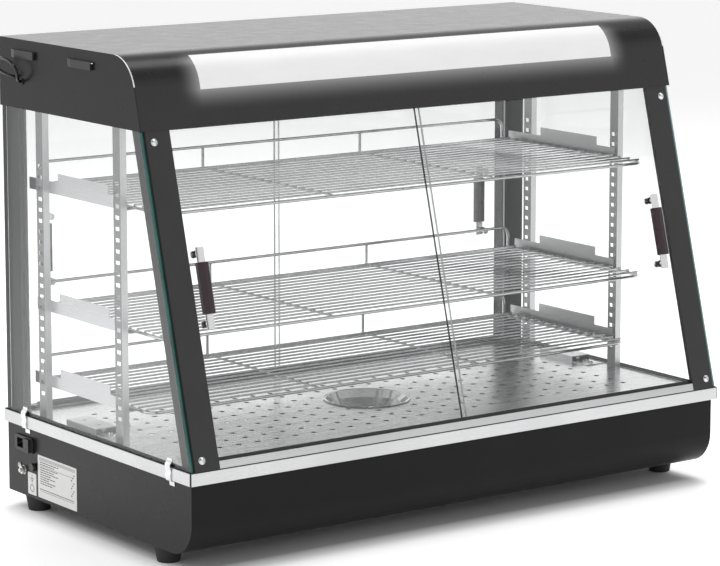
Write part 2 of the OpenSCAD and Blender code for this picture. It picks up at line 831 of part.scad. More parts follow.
module hood_ceiling() color([0.80, 0.81, 0.82]) {
    half = post_out - 2;
    front = band_front + 137;
    back = back_plane - 20.5;
    translate([0, 0, ceiling_z]) linear_extrude(sheet) difference() {
        translate([-half, front]) square([2 * half, back - front]);
        translate([-330, front + 14]) square([660, 34]);
    }
    for (y = [front, back - sheet])
        translate([-half, y, ceiling_z + sheet]) cube([2 * half, sheet, 16]);
}

module lamp_tube() color([0.96, 0.96, 0.96]) {
    rod_x(-tube_half, tube_half, tube_y, tube_z, tube_r);
    for (s = [-1, 1], pin = [-3.2, 3.2])
        translate([s * (tube_half + 3.5), tube_y + pin, tube_z])
            rotate([0, 90, 0]) cylinder(h = 7, r = 1.2, center = true);
}

module lamp_holders() color([0.92, 0.92, 0.90]) {
    both_sides() translate([-tube_half - 12, 0, 0]) {
        difference() {
            translate([0, tube_y - 12, ceiling_z + sheet])
                cube([11.8, 24, tube_z + 12 - ceiling_z - sheet]);
            for (pin = [-3.2, 3.2])
                rod_x(4.6, 13, tube_y + pin, tube_z, 1.3);
        }
    }
}

// ---------------------------------------------------------------- heating and controls

// Two hairpin elements under the deck, on feet that stand on the bottom plate
module deck_heaters() color([0.55, 0.56, 0.57]) {
    z = deck_z - 34;
    r = 4;
    bend = 120;
    inner = 100;
    ends = 130;
    both_sides() translate([inner + bend, -20, z]) {
        for (s = [-1, 1]) rod_y(0, ends, s * bend, 0, r);
        rotate(180) rotate_extrude(angle = 180) translate([bend, 0]) circle(r);
        for (s = [-1, 1]) translate([s * bend, 40, 0]) difference() {
            translate([-9, 0, base_z + 1.5 + sheet - z]) cube([18, 2, z - base_z + 4]);
            rod_y(-cut, 3, 0, 0, r + 0.1);
        }
    }
}

module thermostat() color([0.88, 0.87, 0.83]) {
    depth = 26;
    back = base_back - 1.5;
    difference() {
        union() {
            translate([knob_x - 20, back - depth, control_z - 17]) cube([40, depth, 34]);
            rod_y(back, base_back + 0.6, knob_x, control_z, 5);
        }
        rod_y(back - 12, base_back + cut, knob_x, control_z, 3.1);
    }
}

module thermostat_knob() color([0.05, 0.05, 0.05]) {
    seat = base_back + 1;
    reach = band_back + rear_reach - seat;
    difference() {
        union() {
            rod_y(base_back - 12, seat + 1, knob_x, control_z, 3);
            rod_y(seat, seat + 3, knob_x, control_z, 21);
            rod_y(seat + 3, seat + reach, knob_x, control_z, 17);
        }
        for (a = [0 : 15 : 345])
            translate([knob_x, seat + 3.2, control_z]) rotate([0, a, 0])
                translate([17.6, -0.2, 0]) rotate([-90, 0, 0]) cylinder(h = reach, r = 1.4, $fn = 16);
        // pointer groove across the face
        translate([knob_x - 0.8, seat + reach - 1, control_z])
            cube([1.6, 2, 17 + cut]);
    }
}

module thermometer() color([0.85, 0.85, 0.84]) {
    difference() {
        union() {
            rod_y(base_back - 14, base_back, dial_x, control_z, 20);
            rod_y(base_back, base_back + 2.5, dial_x, control_z, 24);
        }
        rod_y(base_back + 1.2, base_back + 2.5 + cut, dial_x, control_z, 21);
    }
    // needle on its hub
    rod_y(base_back + 1.2, base_back + 2.1, dial_x, control_z, 2);
    translate([dial_x, base_back + 1.2, control_z]) rotate([0, -50, 0])
        translate([-0.6, 0, 1.9]) cube([1.2, 0.6, 15]);
}

// A rocker pressed in at its lower edge, turning on the two pins in its sides
module rocker(x) {
    translate([x, rocker_y, control_z]) rotate([rocker_tilt, 0, 0])
        rotate([90, 0, 90]) linear_extrude(14.6, center = true) difference() {
            intersection() {
                translate([-11, 0]) circle(18);
                translate([-4, -9.6]) square([14, 19.2]);
            }
            translate([20.4, 0]) circle(14.6);
        }
    rod_x(x - 8.6, x + 8.6, rocker_y, control_z, 1.5);
}

module switch_frames() color([0.04, 0.04, 0.04]) {
    for (x = [power_x, light_x]) difference() {
        union() {
            translate([x - 9.5, base_back - 16, control_z - 13]) cube([19, 16, 26]);
            translate([x - 11, base_back, control_z - 15]) cube([22, 1.6, 30]);
        }
        translate([x - 7.6, base_back - 11, control_z - 11]) cube([15.2, 15, 22]);
        rod_x(x - 9, x + 9, rocker_y, control_z, 1.8);
    }
}

module power_switch() color([0.70, 0.08, 0.06]) rocker(power_x);

module lamp_switch() color([0.06, 0.06, 0.06]) rocker(light_x);

module terminal_block() color([0.90, 0.90, 0.88]) {
    z = base_z + 1.5 + sheet;
    difference() {
        translate([-380, 60, z]) cube([18, 58, 16]);
        for (i = [0 : 4]) {
            rod_x(-381, -361, 66.5 + 11.2 * i, z + 6, 2);
            rod_z(z + 8, z + 17, -371, 66.5 + 11.2 * i, 2.4);
        }
    }
}

module power_inlet() color([0.04, 0.04, 0.04]) {
    out = 3;
    translate([-base_half, inlet_y, inlet_z]) {
        difference() {
            union() {
                translate([-out, 0, 0]) rotate([90, 0, 90]) linear_extrude(out)
                    rounded_rect(48, 22, 4);
                translate([0, -20, -8]) cube([24, 40, 16]);
            }
            // socket for the lead, towards the back
            translate([-out - cut, -4, -6.6]) cube([out + cut + 18, 22, 13.2]);
        }
        for (y = [0, 7, 14]) translate([-1, y - 0.1, y == 7 ? 1 : -2.4])
            cube([19, 1.6, 2.6]);
        // fuse drawer, towards the front
        translate([-out - 5, -21, -9.6]) cube([5, 14, 19.2]);
    }
}

module earth_terminal() color([0.80, 0.78, 0.70]) {
    translate([-base_half, stud_y, stud_z]) rotate([0, -90, 0]) {
        translate([0, 0, -12]) cylinder(h = 20, r = 2.9);
        difference() {
            cylinder(h = 1, r = 6.4);
            translate([0, 0, -cut]) cylinder(h = 4, r = 2.95);
        }
        translate([0, 0, 1]) difference() {
            cylinder(h = 4.2, r = 5.8, $fn = 6);
            translate([0, 0, -cut]) cylinder(h = 8, r = 2.95);
        }
    }
    translate([-base_half, earth_screw.x, earth_screw.y]) rotate([0, -90, 0])
        pan_screw(4, 2.6, 1.9, 5);
}

module reset_button() color([0.04, 0.04, 0.04]) {
    rod_x(-base_half - 6, -base_half - 2.3, reset_y, reset_z, 6);
    rod_x(-base_half - 2.3, -base_half + 12, reset_y, reset_z, 4.6);
}

module rating_plates() color([0.90, 0.90, 0.89]) {
    translate([-base_half - 0.4, 0, 0]) rotate([90, 0, 90]) linear_extrude(0.4) {
        translate([base_back - 134, base_z + 35]) rounded_rect(104.5, 60, 1.5);
        translate([base_back - 65.3, base_z + 20]) rounded_rect(22.8, 31, 1.5);
    }
}

// ---------------------------------------------------------------- lamp lead

// A tube swept along a list of points, with flat ends across its two ends
function unit(v) = v / norm(v);
function heading(p, i) =
    i == 0 ? unit(p[1] - p[0]) :
    i == len(p) - 1 ? unit(p[i] - p[i - 1]) : unit(p[i + 1] - p[i - 1]);
function carried(v, t) = unit(v - (v * t) * t);
function normals(p, i = 0, last = [0, 0, 1]) =
    let (n = carried(last, heading(p, i)))
    i == len(p) - 1 ? [n] : concat([n], normals(p, i + 1, n));

module tube(p, r, sides) {
    n = normals(p);
    points = [for (i = [0 : len(p) - 1], k = [0 : sides - 1])
        let (t = heading(p, i), b = cross(t, n[i]), a = 360 * k / sides)
        p[i] + r * (cos(a) * n[i] + sin(a) * b)];
    last = (len(p) - 1) * sides;
    faces = concat(
        [[for (k = [0 : sides - 1]) k]],
        [for (i = [0 : len(p) - 2], k = [0 : sides - 1])
            let (a = i * sides + k, b = i * sides + (k + 1) % sides)
            [b, a, a + sides]],
        [for (i = [0 : len(p) - 2], k = [0 : sides - 1])
            let (a = i * sides + k, b = i * sides + (k + 1) % sides)
            [b, a + sides, b + sides]],
        [[for (k = [sides - 1 : -1 : 0]) last + k]]);
    polyhedron(points, faces);
}

module lamp_lead() color([0.03, 0.03, 0.03]) tube(lead_route, lead_d / 2, 10);

// ---------------------------------------------------------------- assembly

base_shell();
bottom_plate();
feet();
top_frame();
rubber_seals();
deck_tray();
front_sill();
lower_tracks();
head_tracks();
front_post_left();
front_post_right();
rear_pillar_left();
rear_pillar_right();
side_glass_left();
side_glass_right();
shelf_posts_left();
shelf_posts_right();
shelf_brackets_top();
shelf_brackets_middle();
shelf_brackets_lower();
hood_cover();
hood_end_left();
hood_end_right();
hood_back();
hood_ceiling();
lamp_window();
lamp_tube();
lamp_holders();
frame_screws();
spring_clips();
power_inlet();
earth_terminal();
rating_plates();
deck_heaters();
thermostat();
terminal_block();
switch_frames();
probe_brackets();
thermometer();
lamp_lead();
thermostat_knob();
power_switch();
lamp_switch();
reset_button();
water_bowl();
shelf_top();
shelf_middle();
shelf_lower();
front_glass_left();
front_glass_right();
rear_glass_left();
rear_glass_right();
front_handle_left();
front_handle_right();
rear_handle_left();
rear_handle_right();
front_grip_left();
front_grip_right();
rear_grip_left();
rear_grip_right();
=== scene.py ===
import math
import random

import bmesh
import bpy
from mathutils import Matrix, Vector


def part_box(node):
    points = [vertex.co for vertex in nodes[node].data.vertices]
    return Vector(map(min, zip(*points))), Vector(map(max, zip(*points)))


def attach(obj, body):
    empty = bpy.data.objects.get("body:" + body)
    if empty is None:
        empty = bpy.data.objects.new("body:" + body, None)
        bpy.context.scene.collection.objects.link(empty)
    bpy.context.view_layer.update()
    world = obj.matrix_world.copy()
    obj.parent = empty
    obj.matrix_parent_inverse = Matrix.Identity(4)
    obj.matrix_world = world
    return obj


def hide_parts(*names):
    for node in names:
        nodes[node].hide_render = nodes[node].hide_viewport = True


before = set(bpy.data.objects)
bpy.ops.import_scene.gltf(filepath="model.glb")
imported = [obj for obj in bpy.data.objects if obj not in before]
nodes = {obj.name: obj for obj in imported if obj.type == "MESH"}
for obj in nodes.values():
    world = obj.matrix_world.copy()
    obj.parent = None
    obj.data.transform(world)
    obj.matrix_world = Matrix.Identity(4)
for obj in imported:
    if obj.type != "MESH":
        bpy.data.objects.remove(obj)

MM = 0.001
scene = bpy.context.scene
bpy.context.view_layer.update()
rng = random.Random(20240611)

# ------------------------------------------------------------------ camera

YAW, PITCH = math.radians(35.866), math.radians(8.884)
CAMERA_AT = (-2.5354, -3.4979, 1.0815)
LENS_MM = 154.77
camera = bpy.data.objects.new("camera", bpy.data.cameras.new("camera"))
scene.collection.objects.link(camera)
camera.location = CAMERA_AT
camera.rotation_euler = (math.pi / 2 - PITCH, 0, -YAW)
camera.data.sensor_width = 36
camera.data.lens = LENS_MM
camera.data.shift_y = -0.1
camera.data.clip_start, camera.data.clip_end = 0.05, 200
scene.camera = camera


# ------------------------------------------------------------------ materials

class Graph:
    """A material with one Principled shader, and short calls for the nodes that feed it."""

    def __init__(self, name, **constants):
        self.mat = bpy.data.materials.new(name)
        self.mat.use_nodes = True
        self.tree = self.mat.node_tree
        self.tree.nodes.clear()
        self.out = self.new("ShaderNodeOutputMaterial")
        self.shader = self.new("ShaderNodeBsdfPrincipled")
        self.join(self.shader.outputs[0], self.out.inputs[0])
        for key, value in constants.items():
            socket = self.shader.inputs[key.replace("_", " ")]
            socket.default_value = (*value, 1) if isinstance(value, tuple) else value
        self.object_coords = self.new("ShaderNodeTexCoord").outputs["Object"]

    def new(self, kind, **props):
        node = self.tree.nodes.new(kind)
        for key, value in props.items():
            setattr(node, key, value)
        return node

    def join(self, a, b):
        self.tree.links.new(a, b)

    def stretched(self, scale, turn=(0, 0, 0)):
        m = self.new("ShaderNodeMapping")
        m.inputs["Scale"].default_value = scale
        m.inputs["Rotation"].default_value = turn
        self.join(self.object_coords, m.inputs["Vector"])
        return m.outputs[0]

    def noise(self, scale, detail=2.0, rough=0.5, twist=0.0, at=None):
        n = self.new("ShaderNodeTexNoise")
        n.inputs["Scale"].default_value = scale
        n.inputs["Detail"].default_value = detail
        n.inputs["Roughness"].default_value = rough
        n.inputs["Distortion"].default_value = twist
        self.join(at or self.object_coords, n.inputs["Vector"])
        return n.outputs["Fac"]

    def cells(self, scale):
        v = self.new("ShaderNodeTexVoronoi")
        v.inputs["Scale"].default_value = scale
        self.join(self.object_coords, v.inputs["Vector"])
        return v.outputs["Distance"]

    def span(self, value, low, high, at=(0.3, 0.7)):
        m = self.new("ShaderNodeMapRange")
        self.join(value, m.inputs["Value"])
        for key, number in zip(("From Min", "From Max", "To Min", "To Max"), (*at, low, high)):
            m.inputs[key].default_value = number
        return m.outputs[0]

    def math(self, operation, a, b):
        m = self.new("ShaderNodeMath", operation=operation)
        for socket, value in zip(m.inputs, (a, b)):
            if isinstance(value, (int, float)):
                socket.default_value = value
            else:
                self.join(value, socket)
        return m.outputs[0]

    def blend(self, factor, a, b):
        m = self.new("ShaderNodeMix", data_type="RGBA")
        self.join(factor, m.inputs[0])
        for socket, value in ((m.inputs[6], a), (m.inputs[7], b)):
            if isinstance(value, tuple):
                socket.default_value = (*value, 1)
            else:
                self.join(value, socket)
        return m.outputs[2]

    def feed(self, name, value):
        self.join(value, self.shader.inputs[name])

    def bump(self, height, strength, distance, under=None):
        b = self.new("ShaderNodeBump")
        b.inputs["Strength"].default_value = strength
        b.inputs["Distance"].default_value = distance
        self.join(height, b.inputs["Height"])
        if under:
            self.join(under, b.inputs["Normal"])
        self.feed("Normal", b.outputs[0])
        return b.outputs[0]


def scaled(colour, k):
    return tuple(min(1.0, c * k) for c in colour)


HOOD_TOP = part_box("hood_cover")[1].z
WINDOW_HALF = 351 * MM
WINDOW_LOW = HOOD_TOP - 47.7 * MM
GLOW_FADE = 0.030   # how far the window's painted glow spreads below it


def paint(name, colour, rough, shine, painted_window_glow=0.0):
    """Satin powder coat: fine orange peel, faint mottling and a few pale specks."""
    g = Graph(name, Specular_IOR_Level=shine)
    mottle = g.span(g.noise(11, 5, 0.6), 0, 1)
    colour_out = g.blend(mottle, scaled(colour, 0.90), scaled(colour, 1.10))
    specks = g.span(g.noise(760, 1), 0, 1, at=(0.70, 0.78))
    g.feed("Base Color", g.blend(specks, colour_out, scaled(colour, 1.8)))
    g.feed("Roughness", g.span(g.noise(38, 4), rough - 0.015, rough + 0.02))
    peel = g.noise(1500, 2, 0.45)
    g.bump(peel, 0.07, 0.00012)
    if painted_window_glow:
        # painted glow: the paint itself emits, standing in for light from the lit window's rim,
        # fading below it and beside it
        place = g.new("ShaderNodeSeparateXYZ")
        g.join(g.object_coords, place.inputs[0])
        below = g.span(place.outputs["Z"], 0, 1, at=(WINDOW_LOW - GLOW_FADE, WINDOW_LOW))
        off_top = g.span(place.outputs["Z"], 1, 0, at=(HOOD_TOP - 0.012, HOOD_TOP - 0.002))
        aside = g.math("ABSOLUTE", place.outputs["X"], 0)
        beside = g.span(aside, 1, 0, at=(WINDOW_HALF, WINDOW_HALF + 0.034))
        near = g.math("POWER", g.math("MULTIPLY", below, beside), 2.1)
        g.shader.inputs["Emission Color"].default_value = (1, 1, 1, 1)
        g.feed("Emission Strength", g.math("MULTIPLY", g.math("MULTIPLY", near, off_top),
                                           painted_window_glow))
    return g.mat


def steel(name, tint, along, rough=0.26, depth=0.10, contrast=0.10, seam=None):
    """Brushed sheet: long thin streaks along one axis, over slow clouds and a few scratches.
    Past a seam's place, given as (x, y), both front corners are dark."""
    g = Graph(name, Metallic=1.0)
    streak_scale = tuple(5.0 if axis == along else 1400.0 for axis in "xyz")
    broad_scale = tuple(1.6 if axis == along else 210.0 for axis in "xyz")
    fine = g.noise(1, 3, 0.65, at=g.stretched(streak_scale))
    broad = g.noise(1, 2, 0.5, at=g.stretched(broad_scale))
    cloud = g.noise(7, 4, 0.55)
    mixed = g.math("ADD", g.math("MULTIPLY", fine, 0.55), g.math("MULTIPLY", broad, 0.45))
    base = g.blend(g.span(mixed, 0, 1), scaled(tint, 1 - contrast), scaled(tint, 1 + contrast))
    base = g.blend(g.span(cloud, 0, 1, at=(0.35, 0.75)), base, scaled(tint, 0.93))
    if seam:
        place = g.new("ShaderNodeSeparateXYZ")
        g.join(g.object_coords, place.inputs[0])
        past_x = g.math("GREATER_THAN", g.math("ABSOLUTE", place.outputs["X"], 0), seam[0])
        past_y = g.math("LESS_THAN", place.outputs["Y"], seam[1])
        base = g.blend(g.math("MULTIPLY", past_x, past_y), base, (0.02, 0.02, 0.02))
    g.feed("Base Color", base)
    smear = g.span(cloud, -0.04, 0.05)
    g.feed("Roughness", g.math("ADD", g.span(mixed, rough - 0.06, rough + 0.09), smear))
    scratch_scale = tuple(22.0 if axis == along else 520.0 for axis in "xyz")
    scratch = g.noise(1, 2, 0.8, at=g.stretched(scratch_scale))
    lines = g.bump(g.span(scratch, 0, 1, at=(0.62, 0.80)), depth * 0.5, 0.00012)
    g.bump(fine, depth, 0.00016, under=lines)
    return g.mat


def plated(name, tint, rough=0.07, grime=0.05):
    """Bright plated wire and screws: nearly a mirror, with drawing marks and a soft haze."""
    g = Graph(name, Metallic=1.0)
    haze = g.noise(46, 4, 0.6)
    g.feed("Base Color", g.blend(g.span(haze, 0, 1), scaled(tint, 0.84), tint))
    g.feed("Roughness", g.span(haze, rough, rough + grime))
    g.bump(g.noise(900, 2, 0.6), 0.10, 0.0001)
    return g.mat


def moulded(name, colour, rough=0.42, grain=1900, depth=0.18, mottle=0.12):
    """Moulded plastic or rubber: spark-eroded grain, slightly uneven gloss."""
    g = Graph(name)
    uneven = g.noise(60, 4, 0.55)
    g.feed("Base Color", g.blend(g.span(uneven, 0, 1), scaled(colour, 1 - mottle),
                                 scaled(colour, 1 + mottle)))
    g.feed("Roughness", g.span(uneven, rough - 0.06, rough + 0.08))
    g.bump(g.cells(grain), depth, 0.00014)
    return g.mat


IOR = 1.45


def clear_glass(name, tint):
    """A pane's faces: clear with a mirror film whose sharpness falls off at faint wipe marks."""
    g = Graph(name)
    g.tree.nodes.remove(g.shader)
    film = g.new("ShaderNodeBsdfGlossy")
    film.inputs["Color"].default_value = (0.96, 0.985, 0.98, 1)
    wipe = g.noise(1, 5, 0.6, 1.4, at=g.stretched((3.0, 3.0, 7.0), (0.2, 0.5, 0.3)))
    g.join(g.span(wipe, 0.0, 0.07, at=(0.5, 0.8)), film.inputs["Roughness"])
    through = g.new("ShaderNodeBsdfTransparent")
    g.join(g.blend(g.span(wipe, 0, 1, at=(0.45, 0.85)), tint, scaled(tint, 0.985)),
           through.inputs["Color"])
    fresnel = g.new("ShaderNodeFresnel")
    inside = g.new("ShaderNodeNewGeometry").outputs["Backfacing"]
    g.join(g.span(inside, IOR, 1 / IOR, at=(0, 1)), fresnel.inputs["IOR"])
    mix = g.new("ShaderNodeMixShader")
    g.join(fresnel.outputs[0], mix.inputs[0])
    g.join(through.outputs[0], mix.inputs[1])
    g.join(film.outputs[0], mix.inputs[2])
    g.join(mix.outputs[0], g.out.inputs[0])
    return g.mat


def glass_edge(name, dark, light):
    """A pane's ground edge: deep green, with painted light standing in for the light that travels
    inside the sheet.
    """
    g = Graph(name, Roughness=0.18, IOR=1.5, Coat_Weight=0.5, Coat_Roughness=0.08)
    glow = g.noise(1, 3, 0.6, at=g.stretched((60, 60, 9)))
    g.feed("Base Color", g.blend(g.span(glow, 0, 1), dark, light))
    g.bump(g.noise(1400, 2), 0.2, 0.0001)
    return g.mat


def glowing(name, colour, light, strength, rough=0.35):
    """Milky plastic or glass glowing by its own emission, a little uneven along X. On the milky
    window, which is no lamp, this glow is painted light standing in for the tube behind it.
    """
    g = Graph(name, Emission_Strength=strength, IOR=1.45)
    uneven = g.noise(5, 3, 0.5, at=g.stretched((2.0, 9.0, 9.0)))
    g.feed("Base Color", g.blend(g.span(uneven, 0, 1), scaled(colour, 0.97), colour))
    g.feed("Emission Color", g.blend(g.span(uneven, 0, 1), scaled(light, 0.93), light))
    g.feed("Roughness", g.span(g.noise(90, 3), rough - 0.05, rough + 0.06))
    g.bump(g.noise(1200, 2), 0.06, 0.0001)
    return g.mat


BLACK = (0.011, 0.011, 0.0113)
STEEL = (0.60, 0.603, 0.607)
BAND_LO, BAND_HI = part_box("top_frame")
M = {
    "black_paint": paint("black_powder_coat", BLACK, 0.28, 0.21),
    # the hood cover's paint is a lighter copy of the black paint: painted light
    "hood_lit_paint": paint("hood_lit_powder_coat", scaled(BLACK, 1.9), 0.28, 0.36, 0.23),
    # lighter copy of the black paint for the louvres' outer faces: a painted highlight
    "louvre_lit_paint": paint("louvre_lit_powder_coat", scaled(BLACK, 2.2), 0.30, 0.36),
    "base_paint": paint("base_powder_coat", BLACK, 0.34, 0.11),
    # the front posts' paint is a lighter copy of the black paint: painted light
    "post_lit_paint": paint("post_lit_powder_coat", scaled(BLACK, 2.7), 0.34, 0.35),
    "grey_paint": paint("grey_powder_coat", (0.058, 0.058, 0.060), 0.50, 0.28),
    "galvanised": steel("galvanised_sheet", (0.52, 0.53, 0.54), "x", 0.38, 0.05, 0.14),
    "rubber": moulded("black_rubber", (0.012, 0.012, 0.012), 0.68, 1300, 0.25),
    "steel_x": steel("brushed_steel_x", STEEL, "x"),
    "band": steel("band_steel", STEEL, "x", 0.28, 0.10, 0.10,
                  seam=(BAND_HI.x - 0.0013, BAND_LO.y + 0.0022)),
    "deck": steel("deck_steel", (0.64, 0.643, 0.647), "x", 0.24, 0.03, 0.05),
    "steel_y": steel("brushed_steel_y", (0.62, 0.62, 0.63), "y", 0.30),
    "steel_z": steel("brushed_steel_z", (0.62, 0.62, 0.63), "z", 0.30),
    "steel_shade": steel("brushed_steel_shade", (0.25, 0.25, 0.253), "z", 0.34),
    # darker copy of the brushed steel: painted shade on the right-hand brackets
    "steel_right_shade": steel("brushed_steel_right_shade", (0.44, 0.44, 0.445), "y", 0.34),
    "spun": plated("spun_steel", (0.58, 0.583, 0.587), 0.10, 0.08),
    "painted_glint": moulded("bright_painted_glint", (0.86, 0.86, 0.86), 0.30, 2400, 0.04, 0.03),
    "black_plastic": moulded("black_plastic", (0.014, 0.014, 0.015), 0.38),
    # near-white for the bright line along the hood's seams: a painted highlight
    "bright_steel": plated("bright_steel", (0.80, 0.805, 0.82), 0.10),
    "satin_bar": steel("satin_bar", (0.72, 0.72, 0.73), "z", 0.20, 0.06, 0.06),
    "chrome_wire": plated("chrome_wire", (0.64, 0.643, 0.65), 0.06, 0.05),
    "glass": clear_glass("pane_glass", (0.978, 0.981, 0.980)),
    # the panes' edges in five tones of one green glass: painted light and shade, each edge lit or
    # shaded its own way
    "edge_teal": glass_edge("pane_edge_teal", (0.006, 0.070, 0.060), (0.020, 0.155, 0.135)),
    "edge_pale": glass_edge("pane_edge_pale", (0.12, 0.26, 0.245), (0.20, 0.36, 0.34)),
    "edge_grey": glass_edge("pane_edge_grey", (0.44, 0.47, 0.465), (0.56, 0.59, 0.585)),
    "edge_mid": glass_edge("pane_edge_mid", (0.24, 0.27, 0.265), (0.34, 0.37, 0.365)),
    "edge_dark": glass_edge("pane_edge_dark", (0.018, 0.026, 0.025), (0.040, 0.054, 0.052)),
    # the window's glow is painted light: emission on the plastic in place of the tube's light
    # shining through
    "diffuser": glowing("milky_window", (0.60, 0.60, 0.60), (1.0, 1.0, 1.0), 0.30),
    "lamp_glass": glowing("lamp_tube_glass", (0.92, 0.92, 0.90), (1.0, 0.99, 0.96), 2.0, 0.25),
    "white_plastic": moulded("white_plastic", (0.72, 0.71, 0.67), 0.40, 1500, 0.10, 0.05),
    "brass_zinc": steel("white_zinc", (0.66, 0.655, 0.63), "x", 0.28, 0.08),
    "label": moulded("label_film", (0.70, 0.70, 0.69), 0.36, 2400, 0.05, 0.03),
    "ink": moulded("label_ink", (0.05, 0.05, 0.052), 0.50, 2400, 0.05, 0.10),
    "white_ink": moulded("white_ink", (0.62, 0.62, 0.61), 0.5, 2400, 0.05, 0.06),
    "heater_steel": steel("heat_tinted_steel", (0.34, 0.32, 0.30), "y", 0.36, 0.08, 0.22),
    "dial": moulded("dial_face", (0.76, 0.76, 0.74), 0.30, 2400, 0.04, 0.03),
    "red_plastic": moulded("red_plastic", (0.42, 0.022, 0.016), 0.26, 2200, 0.06),
    "cable": moulded("cable_sheath", (0.004, 0.004, 0.004), 0.22, 1700, 0.05),
    "burgundy": moulded("burgundy_grip", (0.022, 0.006, 0.010), 0.30, 1500, 0.10, 0.2),
}

FINISH = {
    "base_shell": "base_paint", "bottom_plate": "galvanised", "feet": "rubber",
    "top_frame": "band", "rubber_seals": "rubber", "deck_tray": "deck",
    "front_sill": "steel_x", "lower_tracks": "black_plastic", "head_tracks": "black_plastic",
    "front_post_left": "post_lit_paint", "front_post_right": "post_lit_paint",
    "rear_pillar_left": "grey_paint", "rear_pillar_right": "grey_paint",
    "hood_cover": "hood_lit_paint",
    "hood_end_left": "black_paint", "hood_end_right": "black_paint",
    "hood_back": "black_paint", "hood_ceiling": "steel_x", "lamp_window": "diffuser",
    "lamp_tube": "lamp_glass", "lamp_holders": "white_plastic",
    "frame_screws": "bright_steel", "spring_clips": "bright_steel",
    "power_inlet": "black_plastic", "earth_terminal": "brass_zinc",
    "rating_plates": "label", "deck_heaters": "heater_steel", "thermostat": "white_plastic",
    "terminal_block": "white_plastic", "switch_frames": "black_plastic",
    "probe_brackets": "steel_y", "thermometer": "dial", "lamp_lead": "cable",
    "thermostat_knob": "black_plastic", "power_switch": "red_plastic",
    "lamp_switch": "black_plastic", "reset_button": "black_plastic", "water_bowl": "spun",
    "shelf_top": "chrome_wire", "shelf_middle": "chrome_wire", "shelf_lower": "chrome_wire",
}
for place in ("front", "rear"):
    for side in ("left", "right"):
        FINISH[f"{place}_handle_{side}"] = "satin_bar"
        FINISH[f"{place}_grip_{side}"] = "burgundy"


def dress(node, *finishes):
    slots = nodes[node].data.materials
    slots.clear()
    for finish in finishes:
        slots.append(M[finish])


for node, finish in FINISH.items():
    dress(node, finish)


def dress_by_side(node, axis, across, round_about):
    """One finish on the faces across an axis, another on all the faces round about it."""
    dress(node, across, round_about)
    for face in nodes[node].data.polygons:
        face.material_index = 0 if abs(face.normal.dot(axis)) > 0.7 else 1


TILT = math.radians(15)
FRONT_NORMAL = Vector((0, -math.cos(TILT), math.sin(TILT)))
X_AXIS, Y_AXIS = Vector((1, 0, 0)), Vector((0, 1, 0))
# each pane's edge takes its own tone of the one green glass: painted light and shade
for node, normal, edge in (
        ("front_glass_left", FRONT_NORMAL, "edge_grey"),
        ("front_glass_right", FRONT_NORMAL, "edge_dark"),
        ("rear_glass_left", Y_AXIS, "edge_grey"), ("rear_glass_right", Y_AXIS, "edge_mid"),
        ("side_glass_left", X_AXIS, "edge_teal"), ("side_glass_right", X_AXIS, "edge_pale")):
    dress_by_side(node, normal, "glass", edge)
    if node.startswith("side_glass"):
        # the upright back edge is hidden by a dark seal
        nodes[node].data.materials.append(M["rubber"])
        for face in nodes[node].data.polygons:
            if face.normal.y > 0.9:
                face.material_index = 2
for level in ("top", "middle", "lower"):
    dress(f"shelf_brackets_{level}", "steel_y", "steel_right_shade")
    # faces on the right-hand brackets take the darker steel: painted shade
    for face in nodes[f"shelf_brackets_{level}"].data.polygons:
        face.material_index = 1 if face.center.x > 0 else 0
dress_by_side("base_shell", X_AXIS, "black_paint", "base_paint")
for side in ("left", "right"):
    dress_by_side(f"shelf_posts_{side}", X_AXIS, "steel_shade", "steel_z")
    dress(f"hood_end_{side}", "black_paint", "louvre_lit_paint")
    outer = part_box(f"hood_end_{side}")
    flat = max(abs(outer[0].x), abs(outer[1].x)) - 3.6 * MM
    # the outer faces, the louvres', take the lighter paint: painted light
    for face in nodes[f"hood_end_{side}"].data.polygons:
        face.material_index = 1 if abs(face.center.x) > flat else 0


def soften(node, width, segments=2, angle=38):
    """Rounds a CAD node's sharp edges by a fraction of a millimetre, so that they catch light."""
    weld = nodes[node].modifiers.new("weld", "WELD")
    weld.merge_threshold = 1e-5
    edge = nodes[node].modifiers.new("edge", "BEVEL")
    edge.width = width * MM
    edge.segments = segments
    edge.limit_method = "ANGLE"
    edge.angle_limit = math.radians(angle)
    edge.use_clamp_overlap = True
    even = nodes[node].modifiers.new("even", "WEIGHTED_NORMAL")
    even.weight = 100


for node, width in {
    "hood_back": 0.4, "top_frame": 0.5, "front_sill": 0.4,
    "shelf_brackets_top": 0.3, "shelf_brackets_middle": 0.3, "shelf_brackets_lower": 0.3,
    "probe_brackets": 0.3, "feet": 1.0, "spring_clips": 0.25, "power_inlet": 0.4,
    "thermostat_knob": 0.5, "reset_button": 0.5, "switch_frames": 0.5,
}.items():
    soften(node, width)


# ------------------------------------------------------------------ lamp lead

LEAD = [
    (-449, 170, 604.5), (-454, 170, 604.5), (-458.5, 168, 606), (-462, 164.5, 610),
    (-464, 161.5, 615.5), (-465.5, 161.5, 621.5), (-466.5, 165, 627), (-467, 171.5, 631),
    (-467, 179.5, 633.5), (-467, 188, 635), (-467, 196.5, 636), (-467, 204.5, 635),
    (-467, 210.5, 630.5), (-467, 212, 624.5), (-466.5, 207.5, 619), (-466, 200, 616.5),
    (-465, 193, 615), (-462.5, 187.5, 613), (-458.5, 184.5, 611), (-454, 183.5, 610),
    (-449, 183.5, 610)]
LEAD_D = 4.2


def curve_piece(name, points, radius, finish):
    data = bpy.data.curves.new(name, "CURVE")
    data.dimensions = "3D"
    data.bevel_depth = radius
    data.bevel_resolution = 5
    data.use_fill_caps = True
    data.resolution_u = 8
    spline = data.splines.new("NURBS")
    spline.points.add(len(points) - 1)
    for p, co in zip(spline.points, points):
        p.co = (*co, 1)
    spline.order_u = 3
    spline.use_endpoint_u = True
    piece = bpy.data.objects.new(name, data)
    scene.collection.objects.link(piece)
    data.materials.append(M[finish])
    return piece


